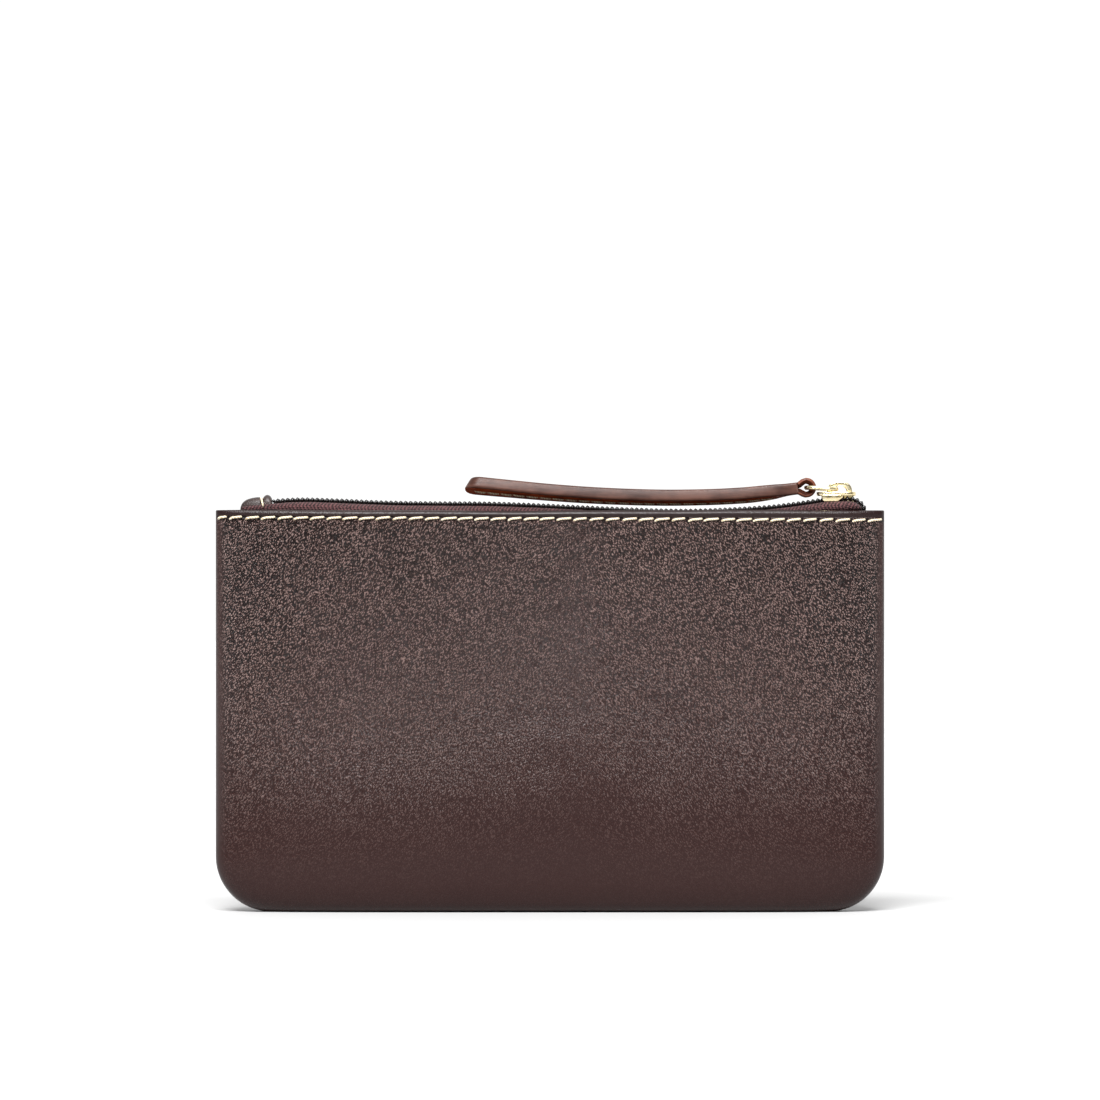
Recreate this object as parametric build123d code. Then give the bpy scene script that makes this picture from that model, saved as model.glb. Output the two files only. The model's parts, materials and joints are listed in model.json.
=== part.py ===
from build123d import *
import os
from math import atan2, cos, degrees, pi, sin, sqrt

os.makedirs("parts", exist_ok=True)

# All sizes are in millimetres. X runs along the zip, -Y is the front, Z is up.

# Pouch shell
POUCH_WIDTH = 170.0
POUCH_HEIGHT = 102.0
BOTTOM_CORNER_RADIUS = 14.0
BELLY_HALF_DEPTH = 12.0
SEAM_HALF_DEPTH = 1.8
PLAN_POWER = 5
SIDE_PROFILE = [(7.0, 0.0), (9.9, 6.0), (11.5, 20.0), (12.0, 40.0), (11.1, 65.0), (9.5, 85.0)]
TOP_HALF_DEPTH = 8.25
LEATHER = 1.2
PANEL_GAP = 0.1
HEM_DEPTH = 11.0
HEM_FOLD_RADIUS = 1.1
SEAM_ALLOWANCE = 5.0
ALLOWANCE_TOP = 90.0

# Lining
LINING = 0.35
LINING_HALF_WIDTH = 77.0
LINING_BOTTOM = 7.5
LINING_TOP = 100.5
LINING_SEAM_HALF_DEPTH = 0.9
LINING_BELLY = 10.2
LINING_PROFILE = [(5.3, LINING_BOTTOM), (8.6, 14.0), (9.9, 26.0), (10.2, 42.0), (9.3, 65.0), (7.4, 82.0), (5.29, 91.5)]

# Zip tapes and coils
TAPE = 0.5
TAPE_TOP_Z = 104.0
TAPE_GAP = 1.4
TAPE_LEG_Y = 5.57
TAPE_LEG_BOTTOM = 92.5
TAPE_BEND_RADIUS = 1.9
TAPE_LEFT = -78.4
TAPE_RIGHT = 78.3
COIL_WIDTH = 1.8
COIL_HEIGHT = 1.2
COIL_CENTRE_Y = 1.6
COIL_CENTRE_Z = 104.65
COIL_LEFT = -70.3
COIL_DIVE_X = 78.2
COIL_DIVE_RADIUS = 1.5
COIL_DIVE_BOTTOM = 95.0
CORD_DIAMETER = 0.5
CORD_CLEARANCE = 0.05

# Leather tab folded over the start of the zip
TAB_LEFT = -79.8
TAB_RIGHT = -70.5
TAB_TOP_Z = 105.55
TAB_BASE_Z = 102.15
TAB_HALF_DEPTH = 6.9
TAB_THREAD_X = -73.2
TAB_THREAD = 0.35

# Slider
SLIDER_X = 72.85
SLIDER_LENGTH = 9.9
SLIDER_NOSE_HALF_DEPTH = 4.1
SLIDER_TAIL_HALF_DEPTH = 3.75
UPPER_PLATE = (105.6, 106.7)
LOWER_PLATE = (102.2, 103.2)
UPPER_FLANGE_BOTTOM = 104.15
LOWER_FLANGE_TOP = 103.35
FLANGE_INNER_Y = 2.95
POST_HALF_DEPTH = 0.45
POST_X = (74.4, 77.3)
CROWN_X = (70.5, 76.9)
CROWN_LEG = 1.5
CROWN_HALF_DEPTH = 1.5
CROWN_TOP_Z = 109.3
CROWN_OPENING_TOP_Z = 108.1

# Ring joining the slider and the strap
WIRE_DIAMETER = 1.1
RING_PIVOT = (72.8, 107.4)
STRAP_PIVOT = (65.2, 108.3)
RING_HALF_WIDTH = 4.2
RING_CORNER_RADIUS = 2.2

# Pull strap
STRAP_LEFT = -21.5
STRAP_THICKNESS = 2.9
STRAP_HALF_WIDTH = 3.2
STRAP_END_RADIUS = 1.4
LOOP_INNER_RADIUS = 0.95
LOOP_OUTER_RADIUS = 2.2
LOOP_START_X = 58.0
LOOP_HOLE_X = 60.5

# Stitches
HEM_STITCH_PITCH = 4.12
HEM_STITCH_LENGTH = 3.3
HEM_STITCH_COUNT = 40
HEM_STITCH_Z = 99.8
HEM_STITCH_SIZE = (0.45, 0.7)
STRAP_STITCH_PITCH = 3.3
STRAP_STITCH_LENGTH = 2.6
STRAP_STITCH_COUNT = 23
STRAP_STITCH_SIZE = (0.6, 0.3)
SEAM_THREAD = 0.4
THREAD_LIFT = 0.03


def plan_half_depth(x, half_width, belly, seam):
    """Half thickness of the pouch in plan, x away from its middle."""
    return seam + (belly - seam) * sqrt(max(0.0, 1 - (abs(x) / half_width) ** PLAN_POWER))


def plan_prism(half_width, belly, seam, bottom, top):
    """A prism with the pouch's plan shape."""
    stations = [half_width * sin(pi / 2 * k / 14) for k in range(-14, 15)]
    back = [(x, plan_half_depth(x, half_width, belly, seam)) for x in stations]
    front = [(x, -y) for x, y in reversed(back)]
    outline = Spline(*back) + Line(back[-1], front[0]) + Spline(*front) + Line(front[-1], back[0])
    return Pos(0, 0, bottom) * extrude(make_face(outline), top - bottom)


def outline_prism(half_width, bottom, top, radius):
    """A prism with the pouch's front outline: square at the top and rounded at the bottom corners."""
    deep = 2 * BELLY_HALF_DEPTH + 4
    block = Pos(0, 0, (bottom + top) / 2) * Box(2 * half_width, deep, top - bottom)
    corners = block.edges().filter_by(Axis.Y).group_by(Axis.Z)[0]
    return fillet(corners, radius)


def side_prism(points, half_length):
    """A prism along X whose right half profile is a smooth line through (y, z) points, closed straight across."""
    right = [(y, z) for y, z in points]
    left = [(-y, z) for y, z in reversed(points)]
    section = Spline(*right) + Line(right[-1], left[0]) + Spline(*left) + Line(left[-1], right[0])
    face = Plane.YZ * make_face(section)
    return extrude(face, half_length, both=True)


def shell_solid(inset, top, seam_least=0.25):
    """The pouch's outer shape drawn in by an inset, up to a height."""
    half_width = POUCH_WIDTH / 2 - inset
    profile = [(y - inset, max(z, inset)) for y, z in SIDE_PROFILE]
    profile += [(TOP_HALF_DEPTH - inset, POUCH_HEIGHT)]
    if top > POUCH_HEIGHT:
        profile += [(TOP_HALF_DEPTH - inset - 0.1, top)]
    seam = max(SEAM_HALF_DEPTH - inset, seam_least)
    solid = outline_prism(half_width, inset, top, BOTTOM_CORNER_RADIUS - inset)
    solid &= plan_prism(half_width, BELLY_HALF_DEPTH - inset, seam, -1, top + 1)
    return solid & side_prism(profile, half_width + 5)


def front_half(bottom=-1.0, top=130.0, gap=PANEL_GAP):
    """The room in front of the middle plane, less half a gap."""
    return Pos(0, -20 - gap / 2, (bottom + top) / 2) * Box(300, 40, top - bottom)


def leather_panel():
    """The front leather panel, its top folded inwards as a hem and its edges turned in at the seam."""
    outer = shell_solid(0, POUCH_HEIGHT)
    wall = outer - shell_solid(LEATHER, POUCH_HEIGHT + 5)
    hem_room = Pos(0, 0, POUCH_HEIGHT - HEM_DEPTH / 2 + 0.5) * Box(200, 60, HEM_DEPTH + 1)
    hem = (outer & hem_room) - shell_solid(2 * LEATHER, POUCH_HEIGHT + 5)
    edge = LEATHER * 0.8
    allowance = outline_prism(POUCH_WIDTH / 2 - edge, edge, ALLOWANCE_TOP, BOTTOM_CORNER_RADIUS - edge)
    inner = edge + SEAM_ALLOWANCE
    allowance -= outline_prism(POUCH_WIDTH / 2 - inner, inner, ALLOWANCE_TOP + 1, BOTTOM_CORNER_RADIUS - inner)
    strip = Box(200, 2 * LEATHER + PANEL_GAP, 300)
    panel = (wall + hem + (allowance & strip & outer)) & front_half()
    fold = [e for e in panel.edges().group_by(Axis.Z)[-1] if abs(e.center().Y) > 7.5 and e.length > 100]
    return fillet(fold, HEM_FOLD_RADIUS) if fold else panel


def lining_solid(inset):
    """The lining bag's shape drawn in by an inset."""
    half_width = LINING_HALF_WIDTH - inset
    bottom = LINING_BOTTOM + inset
    top = LINING_TOP + (5 if inset else 0)
    profile = [(y - inset, max(z, bottom)) for y, z in LINING_PROFILE]
    profile += [(profile[-1][0], top)]
    solid = outline_prism(half_width, bottom, top, BOTTOM_CORNER_RADIUS - inset)
    seam = LINING_SEAM_HALF_DEPTH - inset
    solid &= plan_prism(half_width, LINING_BELLY - inset, seam, 0, top + 1)
    return solid & side_prism(profile, half_width + 5)


def front_lining():
    """The front half of the lining bag, open at the top."""
    return (lining_solid(0) - lining_solid(LINING)) & front_half()


def tape_section(grow_out=0.0, grow_in=0.0):
    """Cross-section of one tape on the +Y side: a leg inside the hem, a bend and a flat part to the coil."""
    bend_y = TAPE_LEG_Y - TAPE_BEND_RADIUS
    bend_z = TAPE_TOP_Z - TAPE / 2 - TAPE_BEND_RADIUS
    out_r = TAPE_BEND_RADIUS + TAPE / 2 + grow_out
    in_r = TAPE_BEND_RADIUS - TAPE / 2 - grow_in
    near = TAPE_GAP / 2
    path = [
        Line((near, bend_z + out_r), (bend_y, bend_z + out_r)),
        RadiusArc((bend_y, bend_z + out_r), (bend_y + out_r, bend_z), out_r),
        Line((bend_y + out_r, bend_z), (bend_y + out_r, TAPE_LEG_BOTTOM)),
        Line((bend_y + out_r, TAPE_LEG_BOTTOM), (bend_y + in_r, TAPE_LEG_BOTTOM)),
        Line((bend_y + in_r, TAPE_LEG_BOTTOM), (bend_y + in_r, bend_z)),
        RadiusArc((bend_y + in_r, bend_z), (bend_y, bend_z + in_r), -in_r),
        Line((bend_y, bend_z + in_r), (near, bend_z + in_r)),
        Line((near, bend_z + in_r), (near, bend_z + out_r)),
    ]
    return Plane.YZ * make_face(Curve() + path)


def along_x(face, start, end):
    """A section drawn in the YZ plane, drawn out along X from start to end."""
    return Pos(start, 0, 0) * extrude(face, end - start, dir=(1, 0, 0))


def back_tape():
    """The tape on the +Y side, cut short where the hems close in on it."""
    tape = along_x(tape_section(), TAPE_LEFT, TAPE_RIGHT)
    hems = Pos(0, 0, 90) * Box(200, 60, 24.04) - shell_solid(2 * LEATHER + 0.03, POUCH_HEIGHT + 5)
    return tape - hems


def coil_path():
    """Centre line of the +Y coil: straight along the pouch, then down inside it past the slider."""
    y, z = COIL_CENTRE_Y, COIL_CENTRE_Z
    turn_x, turn_z = COIL_DIVE_X + COIL_DIVE_RADIUS, COIL_CENTRE_Z - COIL_DIVE_RADIUS
    straight = Line((COIL_LEFT, y, z), (COIL_DIVE_X, y, z))
    side = sqrt(0.5) * COIL_DIVE_RADIUS
    bend = ThreePointArc(straight @ 1, (COIL_DIVE_X + side, y, turn_z + side), (turn_x, y, turn_z))
    return Wire([straight, bend, Line(bend @ 1, (turn_x, y, COIL_DIVE_BOTTOM))])


def back_coil():
    """The +Y coil as a rounded bar with a hole for its filler cord."""
    start = Plane(origin=(COIL_LEFT, COIL_CENTRE_Y, COIL_CENTRE_Z), x_dir=(0, 1, 0), z_dir=(1, 0, 0))
    bar = sweep(start * RectangleRounded(COIL_WIDTH, COIL_HEIGHT, 0.45), path=coil_path())
    hole = sweep(start * Circle(CORD_DIAMETER / 2 + CORD_CLEARANCE), path=coil_path())
    return bar - hole


def back_cord():
    """The filler cord inside the +Y coil."""
    start = Plane(origin=(COIL_LEFT, COIL_CENTRE_Y, COIL_CENTRE_Z), x_dir=(0, 1, 0), z_dir=(1, 0, 0))
    return sweep(start * Circle(CORD_DIAMETER / 2), path=coil_path())


def top_stops():
    """The two crimped stops near the hidden ends of the coils."""
    x = COIL_DIVE_X + COIL_DIVE_RADIUS
    gap = 0.04
    block = Box(COIL_HEIGHT + 0.7, COIL_WIDTH + 0.7, 2.2) - Box(COIL_HEIGHT + gap, COIL_WIDTH + gap, 3)
    back = Pos(x, COIL_CENTRE_Y + 0.2, COIL_DIVE_BOTTOM + 2.5) * (Pos(0, -0.2, 0) * block)
    return [back, mirror(back, Plane.XZ)]


def tab_section(grow=0.0):
    """Cross-section of the end tab: a low arch standing on the hems."""
    top, base, half = TAB_TOP_Z + grow, TAB_BASE_Z, TAB_HALF_DEPTH + grow
    shoulder = 2.6
    path = [
        Line((-half, base), (half, base)),
        Line((half, base), (half - shoulder * 0.35, top - shoulder * 0.5)),
        Line((half - shoulder * 0.35, top - shoulder * 0.5), (half - shoulder, top)),
        Line((half - shoulder, top), (-half + shoulder, top)),
        Line((-half + shoulder, top), (-half + shoulder * 0.35, top - shoulder * 0.5)),
        Line((-half + shoulder * 0.35, top - shoulder * 0.5), (-half, base)),
    ]
    return Plane.YZ * make_face(Curve() + path)


def end_tab():
    """The leather tab folded round the start of the zip: a cap, a folded end and a layer under the tapes."""
    cap = along_x(tab_section(), TAB_LEFT, TAB_RIGHT)
    clear = 0.05
    bend_y = TAPE_LEG_Y - TAPE_BEND_RADIUS
    radius = TAPE_BEND_RADIUS + TAPE / 2 + clear
    room = Pos((TAPE_LEFT - 0.2 + TAB_RIGHT + 5) / 2, 0, 100)
    length = TAB_RIGHT + 5 - TAPE_LEFT + 0.2
    hollow = room * Box(length, 2 * bend_y, 2 * (TAPE_TOP_Z + clear - 100))
    for side in (-1, 1):
        rod = Pos(0, side * bend_y, TAPE_TOP_Z - TAPE / 2 - TAPE_BEND_RADIUS) * Rot(0, 90, 0) * Cylinder(radius, length)
        hollow += Pos((TAPE_LEFT - 0.2 + TAB_RIGHT + 5) / 2, 0, 0) * rod
    under_top = TAPE_TOP_Z - TAPE - clear
    under = Pos((TAB_LEFT + 0.6 + TAB_RIGHT) / 2, 0, (TAB_BASE_Z + under_top) / 2)
    under *= Box(TAB_RIGHT - TAB_LEFT - 0.6, 2 * 3.4, under_top - TAB_BASE_Z)
    return cap - hollow + under


def end_tab_thread():
    """The thread that passes over the end tab."""
    band = along_x(tab_section(TAB_THREAD), TAB_THREAD_X - 0.3, TAB_THREAD_X + 0.3)
    band -= along_x(tab_section(THREAD_LIFT), TAB_THREAD_X - 1, TAB_THREAD_X + 1)
    return band


def slider_plate(bottom, top):
    """One plate of the slider, wider at the nose where the open coils go in."""
    left, right = SLIDER_X - SLIDER_LENGTH / 2, SLIDER_X + SLIDER_LENGTH / 2
    tail, nose = SLIDER_TAIL_HALF_DEPTH, SLIDER_NOSE_HALF_DEPTH
    outline = Polyline((left, -tail), (right, -nose), (right, nose), (left, tail), close=True)
    plate = Pos(0, 0, bottom) * extrude(make_face(outline), top - bottom)
    return fillet(plate.edges().filter_by(Axis.Z), 1.2)


def slider_body():
    """The slider: two plates joined by a post, with flanges that keep the coils in."""
    upper = slider_plate(UPPER_FLANGE_BOTTOM, UPPER_PLATE[1])
    lower = slider_plate(LOWER_PLATE[0], LOWER_FLANGE_TOP)
    channel_z = (LOWER_PLATE[1] + UPPER_PLATE[0]) / 2
    channel = Pos(SLIDER_X, 0, channel_z) * Box(20, 2 * FLANGE_INNER_Y, UPPER_PLATE[0] - LOWER_PLATE[1])
    post_height = UPPER_PLATE[0] - LOWER_PLATE[1] + 0.4
    post = Pos(sum(POST_X) / 2, 0, channel_z) * Box(POST_X[1] - POST_X[0], 2 * POST_HALF_DEPTH, post_height)
    upper = chamfer(upper.faces().sort_by(Axis.Z)[-1].edges(), 0.3)
    return upper + lower - channel + post


def slider_crown():
    """The bridge on the slider that the ring hangs in."""
    left, right = CROWN_X
    height = CROWN_TOP_Z - UPPER_PLATE[1]
    arch = Pos((left + right) / 2, 0, UPPER_PLATE[1] + height / 2)
    arch *= Box(right - left, 2 * CROWN_HALF_DEPTH, height)
    arch = fillet(arch.edges().filter_by(Axis.Y).group_by(Axis.Z)[-1], 1.3)
    opening_height = CROWN_OPENING_TOP_Z - UPPER_PLATE[1]
    opening = Pos((left + right) / 2, 0, UPPER_PLATE[1] + opening_height / 2)
    opening *= Box(right - left - 2 * CROWN_LEG, 10, opening_height)
    return arch - opening


def connector_ring():
    """A rounded rectangle of wire, one side in the crown and the other in the strap's loop."""
    run_x, run_z = STRAP_PIVOT[0] - RING_PIVOT[0], STRAP_PIVOT[1] - RING_PIVOT[1]
    length = sqrt(run_x**2 + run_z**2)
    tilt = degrees(atan2(run_z, -run_x))
    centre_line = Pos(-length / 2, 0, 0) * RectangleRounded(length, 2 * RING_HALF_WIDTH, RING_CORNER_RADIUS)
    path = centre_line.wires()[0]
    start = Plane(origin=path @ 0, z_dir=path % 0)
    ring = sweep(start * Circle(WIRE_DIAMETER / 2), path=path)
    return Pos(RING_PIVOT[0], 0, RING_PIVOT[1]) * Rot(0, tilt, 0) * ring


def pull_strap():
    """The strap: one strip folded round the ring and glued to itself, with a drop-shaped eye at the fold."""
    x, z = STRAP_PIVOT
    half = STRAP_THICKNESS / 2
    outer_r, inner_r = LOOP_OUTER_RADIUS, LOOP_INNER_RADIUS
    outer = [
        Line((STRAP_LEFT, z - half), (LOOP_START_X, z - half)),
        Spline((LOOP_START_X, z - half), (x, z - outer_r), tangents=[(1, 0), (1, 0)]),
        ThreePointArc((x, z - outer_r), (x + outer_r, z), (x, z + outer_r)),
        Spline((x, z + outer_r), (LOOP_START_X, z + half), tangents=[(-1, 0), (-1, 0)]),
        Line((LOOP_START_X, z + half), (STRAP_LEFT, z + half)),
        Line((STRAP_LEFT, z + half), (STRAP_LEFT, z - half)),
    ]
    eye = [
        Line((LOOP_HOLE_X, z), (x, z - inner_r)),
        ThreePointArc((x, z - inner_r), (x + inner_r, z), (x, z + inner_r)),
        Line((x, z + inner_r), (LOOP_HOLE_X, z)),
    ]
    profile = make_face(Curve() + outer) - make_face(Curve() + eye)
    strap = extrude(Plane.XZ * profile, STRAP_HALF_WIDTH, both=True)
    ends = [e for e in strap.edges().filter_by(Axis.Z) if e.center().X < STRAP_LEFT + 1]
    return fillet(ends, STRAP_END_RADIUS)


def hem_stitches():
    """The row of stitches along the front hem, each lying on the leather."""
    thick, high = HEM_STITCH_SIZE
    stitches = []
    for k in range(HEM_STITCH_COUNT):
        x = (k - (HEM_STITCH_COUNT - 1) / 2) * HEM_STITCH_PITCH
        depth, slope = hem_surface(x)
        lift = THREAD_LIFT + 0.02 + thick / 2
        angle = degrees(atan2(slope, 1))
        place = Pos(x, -depth, HEM_STITCH_Z) * Rot(0, 0, angle) * Pos(0, -lift, 0)
        stitches.append(place * Box(HEM_STITCH_LENGTH, thick, high))
    return stitches


def hem_surface(x):
    """Half thickness of the pouch at the stitch line, and its slope along X on the front."""
    def depth(at):
        flat = TOP_HALF_DEPTH + 0.19
        return min(flat, plan_half_depth(at, POUCH_WIDTH / 2, BELLY_HALF_DEPTH, SEAM_HALF_DEPTH))
    step = 0.2
    return depth(x), (depth(x - step) - depth(x + step)) / (2 * step)


def strap_stitches():
    """Stitches along the middle of the strap, on its top and its underside."""
    wide, high = STRAP_STITCH_SIZE
    z = STRAP_PIVOT[1]
    lift = STRAP_THICKNESS / 2 + THREAD_LIFT + high / 2
    first = STRAP_LEFT + 2.6 + STRAP_STITCH_LENGTH / 2
    stitches = []
    for k in range(STRAP_STITCH_COUNT):
        for up in (-1, 1):
            place = Pos(first + k * STRAP_STITCH_PITCH, 0, z + up * lift)
            stitches.append(place * Box(STRAP_STITCH_LENGTH, wide, high))
    return stitches


def seam_thread(distance, bottom_offset, half_width, top, radius, lift):
    """A line of thread down one side, along the bottom and up the other side, on both faces of a seam."""
    inset = bottom_offset + distance
    line = outline_prism(half_width - distance, inset, top, radius)
    line -= outline_prism(half_width - distance - SEAM_THREAD, inset + SEAM_THREAD, top + 1, radius - SEAM_THREAD)
    layer = Box(200, SEAM_THREAD, 300)
    back = line & (Pos(0, lift + SEAM_THREAD / 2, 0) * layer)
    return [back, mirror(back, Plane.XZ)]


def save(name, *solids):
    """Writes one node to its own STEP file."""
    flat = []
    for item in solids:
        flat += item.solids()
    export_step(flat[0] if len(flat) == 1 else Compound(children=flat), f"parts/{name}.step")
    print(name, len(flat), "solids", round(sum(s.volume for s in flat), 1), "mm3")


def save_pair(front_name, back_name, *back_solids):
    """Writes a +Y piece and its mirror image on the front."""
    save(back_name, *back_solids)
    save(front_name, *[mirror(s, Plane.XZ) for s in back_solids])


save_pair("front_panel", "back_panel", mirror(leather_panel(), Plane.XZ))
save_pair("front_lining", "back_lining", mirror(front_lining(), Plane.XZ))
save_pair("front_hem_stitching", "back_hem_stitching", *[mirror(s, Plane.XZ) for s in hem_stitches()])
save_pair("front_zip_tape", "back_zip_tape", back_tape())
save_pair("front_zip_coil", "back_zip_coil", back_coil())
save_pair("front_coil_cord", "back_coil_cord", back_cord())
save("zip_top_stops", *top_stops())
save("zip_end_tab", end_tab())
save("end_tab_stitch", end_tab_thread())
panel_lift = LEATHER + PANEL_GAP / 2 + THREAD_LIFT
save("panel_seam_stitching", *seam_thread(4.0, 0.0, POUCH_WIDTH / 2, 88.0, BOTTOM_CORNER_RADIUS - 4, panel_lift))
save("slider_body", slider_body())
save("slider_crown", slider_crown())
save("connector_ring", connector_ring())
save("pull_strap", pull_strap())
save("pull_strap_stitching", *strap_stitches())
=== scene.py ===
"""A leather zip pouch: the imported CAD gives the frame, and each visible piece is built here around it."""

import json
import math

import bpy
import numpy as np
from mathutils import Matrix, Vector, noise


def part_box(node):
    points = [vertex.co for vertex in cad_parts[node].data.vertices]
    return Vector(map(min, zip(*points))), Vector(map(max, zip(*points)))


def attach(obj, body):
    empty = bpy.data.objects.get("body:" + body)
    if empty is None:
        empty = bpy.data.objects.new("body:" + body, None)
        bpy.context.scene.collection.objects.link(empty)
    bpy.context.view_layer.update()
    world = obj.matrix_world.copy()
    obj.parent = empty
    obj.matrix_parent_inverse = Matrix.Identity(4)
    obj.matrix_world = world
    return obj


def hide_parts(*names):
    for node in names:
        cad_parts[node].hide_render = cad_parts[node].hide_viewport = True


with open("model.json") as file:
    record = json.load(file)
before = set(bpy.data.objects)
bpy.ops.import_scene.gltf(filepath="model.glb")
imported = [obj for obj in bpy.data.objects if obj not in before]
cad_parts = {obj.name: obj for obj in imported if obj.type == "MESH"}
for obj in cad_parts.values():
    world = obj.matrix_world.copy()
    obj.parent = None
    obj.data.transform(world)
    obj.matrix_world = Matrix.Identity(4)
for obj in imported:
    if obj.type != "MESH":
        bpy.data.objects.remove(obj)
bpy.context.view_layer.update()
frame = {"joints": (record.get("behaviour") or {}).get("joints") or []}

MM = 0.001

# Places that come from the CAD nodes, in millimetres
PANEL_LOW, PANEL_HIGH = (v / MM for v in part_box("front_panel"))
SLIDER_LOW, SLIDER_HIGH = (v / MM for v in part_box("slider_body"))
CROWN_LOW, CROWN_HIGH = (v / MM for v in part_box("slider_crown"))
RING_LOW, RING_HIGH = (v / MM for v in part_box("connector_ring"))
TAB_LOW, TAB_HIGH = (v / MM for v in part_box("zip_end_tab"))
STRAP_LOW, STRAP_HIGH = (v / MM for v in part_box("pull_strap"))
JOINTS = {j["name"]: j for j in frame["joints"]}
RING_PIVOT = Vector(JOINTS["ring_hinge"]["pos_m"]) / MM
STRAP_PIVOT = Vector(JOINTS["strap_hinge"]["pos_m"]) / MM

# Pouch shell
HALF_WIDTH = PANEL_HIGH.x
TOP_Z = PANEL_HIGH.z
CORNER_RADIUS = 14.0
PLAN_POWER = 5.0
SEAM_RADIUS = 1.5
SEAM_GAP = 0.12
SEAM_DEPTH = SEAM_RADIUS + SEAM_GAP
LEATHER = 1.15
PANEL_ROWS = 196
PANEL_COLUMNS = 222
HEM_RADIUS = 1.2
HEM_TOP_DEPTH = 8.25
HEM_BOTTOM_Z = 91.0
SECTION = [
    (SEAM_DEPTH, 0.0), (3.4, 0.0), (5.4, 0.06), (7.4, 0.85), (9.0, 3.2), (10.3, 8.0), (11.3, 18.0),
    (11.9, 36.0), (11.5, 54.0), (10.5, 73.0), (9.3, 89.0), (8.45, 98.0), (HEM_TOP_DEPTH, TOP_Z - HEM_RADIUS),
]

# Zip chain: height of the middle of the coils along the pouch
CHAIN = [
    (-79.0, 103.2), (-72.0, 103.9), (-64.0, 104.45), (-54.0, 104.2), (-42.0, 103.7), (-30.0, 103.5),
    (-18.0, 103.45), (-8.0, 103.2), (4.0, 102.65), (16.0, 102.1), (27.0, 101.7), (36.0, 101.6),
    (46.0, 101.95), (56.0, 102.6), (64.0, 103.6), (70.0, 104.45), (74.5, 104.65), (77.3, 104.5),
    (79.2, 103.3), (80.1, 101.3), (80.3, 98.5), (80.3, 96.0),
]
COIL_PITCH = 1.25
COIL_START = 8.6
COIL_WIRE_RADIUS = 0.24
COIL_HALF_HEIGHT = 0.31
CHAIN_TILT = 0.10
COIL_CENTRE_Y = 1.15
COIL_HALF_WIDTH = 1.36
TAPE = 0.45
TAPE_DROP = 0.58

# Leather grain: how much slower it changes along its slant than across it, its steepness from the
# horizontal, its scales in cells to the metre, and the height of its relief in millimetres
GRAIN_STRETCH = 0.46
PEBBLE_SCALE = 3300
FINE_SCALE = 4300
CREASE_SCALE = 700
GRAIN_RELIEF = 0.80
GRAIN_SLANT = math.radians(56)

# Stitches
STITCH_PITCH = 4.164
STITCH_COUNT = 41
STITCH_LENGTH = 3.25
STITCH_SHIFT = -0.7
STITCH_LINE_Z = 99.78
STITCH_LINE_FALL = 0.0042
STITCH_RADIUS = 0.29


# ---------------------------------------------------------------- small helpers


def smooth_step(low, high, value):
    """0 below low, 1 above high, and a smooth rise between."""
    t = np.clip((np.asarray(value, float) - low) / (high - low), 0, 1)
    return t * t * (3 - 2 * t)


def curve_through(points, count):
    """A smooth line through points, sampled evenly along its length."""
    p = np.array(points, float)
    p = np.vstack([2 * p[0] - p[1], p, 2 * p[-1] - p[-2]])
    fine = []
    for a, b, c, d in zip(p[:-3], p[1:-2], p[2:-1], p[3:]):
        t = np.linspace(0, 1, 40, endpoint=False)[:, None]
        fine.append(
            0.5 * (2 * b + (c - a) * t + (2 * a - 5 * b + 4 * c - d) * t**2 + (3 * b - a - 3 * c + d) * t**3)
        )
    fine = np.vstack(fine + [p[-2:-1]])
    return resample(fine, count)


def resample(line, count, density=None):
    """A line again with count points, evenly spaced or closer where density is higher."""
    step = np.linalg.norm(np.diff(line, axis=0), axis=1)
    if density is not None:
        middle = (line[1:] + line[:-1]) / 2
        step = step * density(middle)
    along = np.concatenate([[0], np.cumsum(step)])
    at = np.linspace(0, along[-1], count)
    return np.stack([np.interp(at, along, line[:, k]) for k in range(line.shape[1])], axis=1)


def grid_faces(rows, columns, closed=False):
    """Quads of a grid of points stored row by row; closed joins the last column to the first."""
    last = columns if closed else columns - 1
    faces = []
    for i in range(rows - 1):
        for j in range(last):
            k = (j + 1) % columns
            a = i * columns
            faces.append((a + j, a + k, a + columns + k, a + columns + j))
    return faces


def make_object(name, points, faces, materials, body, replaced=()):
    """A mesh object from points in millimetres that rides on a body."""
    mesh = bpy.data.meshes.new(name)
    mesh.from_pydata([tuple(p) for p in np.asarray(points, float) * MM], [], faces)
    mesh.validate()
    mesh.polygons.foreach_set("use_smooth", [True] * len(mesh.polygons))
    for material in materials if isinstance(materials, (list, tuple)) else [materials]:
        mesh.materials.append(material)
    obj = bpy.data.objects.new(name, mesh)
    bpy.context.scene.collection.objects.link(obj)
    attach(obj, body)
    if replaced:
        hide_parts(*replaced)
    return obj


def thicken(obj, millimetres, offset=-1.0):
    """Gives an open surface its thickness."""
    solid = obj.modifiers.new("thickness", "SOLIDIFY")
    solid.thickness = millimetres * MM
    solid.offset = offset
    return obj


def flip_object_faces(faces):
    """The same faces, looking the other way."""
    return [tuple(reversed(f)) for f in faces]


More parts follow.
